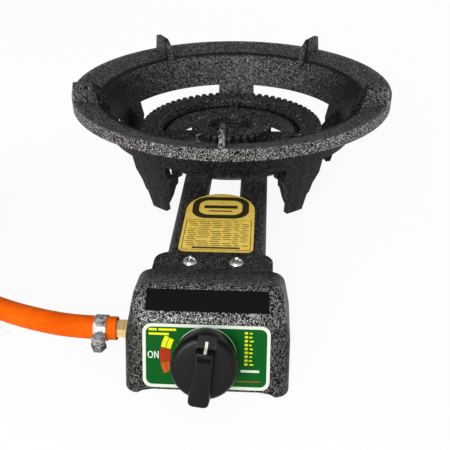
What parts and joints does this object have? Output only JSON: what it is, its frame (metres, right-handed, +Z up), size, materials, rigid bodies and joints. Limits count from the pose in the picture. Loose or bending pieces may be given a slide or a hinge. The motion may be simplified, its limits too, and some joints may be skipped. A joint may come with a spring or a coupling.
{
  "type": "portable propane stove",
  "caption": "Portable single-burner gas stove: cast ring stand around a double ring burner, with a control box, turning knob and gas hose.",
  "frame": {"origin": "middle of the footprint without the hose, on the floor", "axes": "+Z up, the knob faces -Y, the hose leaves to -X"},
  "size_m": [0.5508, 0.4933, 0.105],
  "materials": {
    "ring_hammered": "black and silver hammered enamel on cast iron",
    "burner_hammered": "black and silver hammered enamel on cast iron",
    "housing_hammered": "black and silver hammered enamel on cast iron",
    "cap_iron": "dark cast iron",
    "ceramic_white": "unglazed white ceramic",
    "steel_plain": "plain steel",
    "lead_rubber": "silicone sleeve",
    "label_yellow": "printed foil",
    "panel_green": "printed foil with white border",
    "strip_black": "gloss foil",
    "screw_steel": "zinc plated",
    "plate_steel": "zinc plated sheet",
    "valve_brass": "turned",
    "valve_alloy": "die cast",
    "knob_black": "satin moulded",
    "igniter_black": "moulded",
    "fitting_brass": "turned",
    "clamp_steel": "zinc plated",
    "hose_orange": "smooth orange gas hose",
    "tie_black": "smooth strap"
  },
  "bodies": {
    "stove": {"stand_ring": "ring_hammered", "burner_body": "burner_hammered", "spark_ceramic": "ceramic_white", "spark_wire": "steel_plain", "electrode_clip": "steel_plain", "ignition_lead": "lead_rubber", "deck_label": "label_yellow", "control_housing": "housing_hammered", "panel_sheet": "panel_green", "top_strip": "strip_black", "housing_screws": "screw_steel", "base_plate": "plate_steel", "base_screws": "screw_steel", "valve_bonnet": "valve_brass", "valve_body": "valve_alloy", "valve_screws": "screw_steel", "igniter_unit": "igniter_black", "jet_outer": "valve_brass", "jet_inner": "valve_brass", "inlet_nipple": "fitting_brass", "clamp_band": "clamp_steel", "clamp_screw": "clamp_steel", "clamp_nut": "clamp_steel", "hose": "hose_orange", "hose_coil": "hose_orange", "coil_ties": "tie_black", "hose_tail": "fitting_brass", "coupling_nut": "fitting_brass", "end_clamp_band": "clamp_steel", "end_clamp_screw": "clamp_steel", "end_clamp_nut": "clamp_steel"},
    "outer_cap_body": {"outer_cap": "cap_iron"},
    "inner_cap_body": {"inner_cap": "cap_iron"},
    "plug_body": {"valve_plug": "valve_brass"},
    "knob_body": {"knob": "knob_black", "valve_spindle": "steel_plain"},
    "shutter_outer_body": {"shutter_outer": "steel_plain"},
    "shutter_inner_body": {"shutter_inner": "steel_plain"}
  },
  "joints": [
    {"name": "outer_cap_lift", "type": "slide", "parent": "stove", "child": "outer_cap_body", "axis": [0, 0, 1], "range_m": [0, 0.04]},
    {"name": "inner_cap_lift", "type": "slide", "parent": "stove", "child": "inner_cap_body", "axis": [0, 0, 1], "range_m": [0, 0.04]},
    {"name": "valve_turn", "type": "hinge", "parent": "stove", "child": "plug_body", "pos_m": [0, -0.21309, 0.0236], "axis": [0, -0.9397, 0.342], "range_deg": [0, 110]},
    {"name": "knob_push", "type": "slide", "parent": "plug_body", "child": "knob_body", "axis": [0, 0.9397, -0.342], "range_m": [0, 0.003], "stiffness_N_per_m": 800, "springref_m": -0.002},
    {"name": "shutter_outer_turn", "type": "hinge", "parent": "stove", "child": "shutter_outer_body", "pos_m": [-0.0245, -0.15362, 0.034], "axis": [0, 1, 0], "range_deg": [0, 45]},
    {"name": "shutter_inner_turn", "type": "hinge", "parent": "stove", "child": "shutter_inner_body", "pos_m": [0.0245, -0.15362, 0.034], "axis": [0, 1, 0], "range_deg": [0, 45]}
  ]
}
